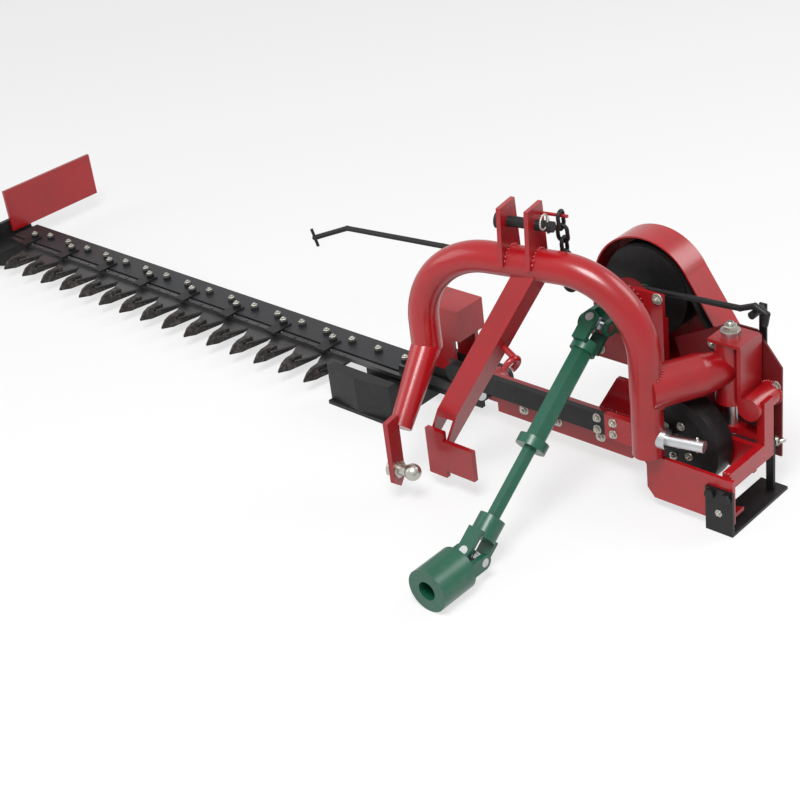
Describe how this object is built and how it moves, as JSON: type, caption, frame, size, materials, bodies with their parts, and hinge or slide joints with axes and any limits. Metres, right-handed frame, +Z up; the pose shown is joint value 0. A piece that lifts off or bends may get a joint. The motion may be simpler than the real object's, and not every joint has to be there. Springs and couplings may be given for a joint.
{
  "type": "sickle bar mower",
  "caption": "Red tractor-mounted sickle bar mower with an arched hitch frame, belt-driven crank, pitman, reciprocating knife bar and a green telescoping drive shaft.",
  "frame": {"origin": "centre of the overall box at ground level", "axes": "+X along the cutter bar towards the drive side, +Y to the rear, +Z up"},
  "size_m": [2.208, 0.7896, 0.555],
  "materials": {
    "red_paint": "gloss",
    "dark_red_paint": "satin",
    "black_paint": "satin",
    "steel": "satin",
    "dark_steel": "matte",
    "belt_rubber": "matte",
    "green_paint": "satin"
  },
  "bodies": {
    "main_frame": {"main_beam": "red_paint", "crank_carrier": "red_paint", "crank_housing": "dark_red_paint", "front_plate": "red_paint", "side_rail": "red_paint", "ground_skid": "black_paint", "swing_bracket": "red_paint", "pivot_pin": "steel", "input_bracket": "red_paint", "input_housing": "dark_red_paint", "belt_cover": "red_paint", "cover_panel": "dark_red_paint", "drive_belt": "belt_rubber", "rod_post": "black_paint", "input_shaft": "green_paint", "input_pulley": "black_paint"},
    "hitch_frame": {"hitch_arch": "red_paint", "side_arm": "red_paint", "pivot_sleeve": "red_paint", "top_tower": "red_paint", "top_pin": "black_paint", "left_plate": "red_paint", "left_bolt": "steel", "right_pin": "steel", "lift_chain": "black_paint", "hitch_stay": "red_paint", "stay_foot": "red_paint"},
    "cutterbar": {"inner_shoe": "black_paint", "hinge_yoke": "black_paint", "hinge_pin": "steel", "lift_box": "red_paint", "cutter_bar": "dark_steel", "guards": "dark_steel", "clips": "black_paint", "outer_shoe": "black_paint", "swath_board": "red_paint"},
    "knife": {"knife_back": "dark_steel", "knife_sections": "steel", "knife_head": "dark_steel"},
    "crank": {"flywheel": "black_paint", "crank_shaft": "steel", "crank_pulley": "black_paint"},
    "pitman": {"pitman_bar": "black_paint", "pitman_head": "red_paint"},
    "cross_rear": {"rear_cross": "steel"},
    "tube": {"shaft_tube": "green_paint"},
    "inner": {"shaft_inner": "green_paint"},
    "cross_front": {"front_cross": "steel"},
    "tractor": {"tractor_yoke": "green_paint"},
    "rod": {"transport_rod": "black_paint"}
  },
  "joints": [
    {"name": "hitch_swing", "type": "hinge", "parent": "main_frame", "child": "hitch_frame", "pos_m": [1.013, 0.18981, 0.236], "axis": [0, 0, 1], "range_deg": [0, 15]},
    {"name": "bar_lift", "type": "hinge", "parent": "main_frame", "child": "cutterbar", "pos_m": [0.493, 0.1528, 0.07], "axis": [0, 1, 0], "range_deg": [-10, 80]},
    {"name": "knife_slide", "type": "slide", "parent": "cutterbar", "child": "knife", "axis": [1, 0, 0], "range_m": [0, 0.0762]},
    {"name": "crank_spin", "type": "hinge", "parent": "main_frame", "child": "crank", "pos_m": [0.95, 0.19481, 0.108], "axis": [0, 1, 0], "continuous": true},
    {"name": "pitman_turn", "type": "hinge", "parent": "crank", "child": "pitman", "pos_m": [0.9119, 0.09481, 0.108], "axis": [0, 1, 0], "continuous": true},
    {"name": "rear_joint_bend", "type": "hinge", "parent": "main_frame", "child": "cross_rear", "pos_m": [0.803, 0.09481, 0.309], "axis": [1, 0, 0], "range_deg": [-30, 0]},
    {"name": "rear_joint_side", "type": "hinge", "parent": "cross_rear", "child": "tube", "pos_m": [0.803, 0.09481, 0.309], "axis": [0, -0.5823, 0.813], "range_deg": [-10, 10]},
    {"name": "shaft_slide", "type": "slide", "parent": "tube", "child": "inner", "axis": [0, -0.813, -0.5823], "range_m": [-0.04, 0.06]},
    {"name": "front_joint_side", "type": "hinge", "parent": "inner", "child": "cross_front", "pos_m": [0.803, -0.28081, 0.04], "axis": [0, -0.5823, 0.813], "range_deg": [-20, 20]},
    {"name": "front_joint_bend", "type": "hinge", "parent": "cross_front", "child": "tractor", "pos_m": [0.803, -0.28081, 0.04], "axis": [1, 0, 0], "range_deg": [-5, 35]},
    {"name": "rod_lift", "type": "hinge", "parent": "main_frame", "child": "rod", "pos_m": [1.048, 0.2098, 0.3436], "axis": [0, 1, 0], "range_deg": [0, 30]}
  ],
  "couplings": [
    {"joint": "pitman_turn", "follows": "crank_spin", "ratio": -1}
  ]
}
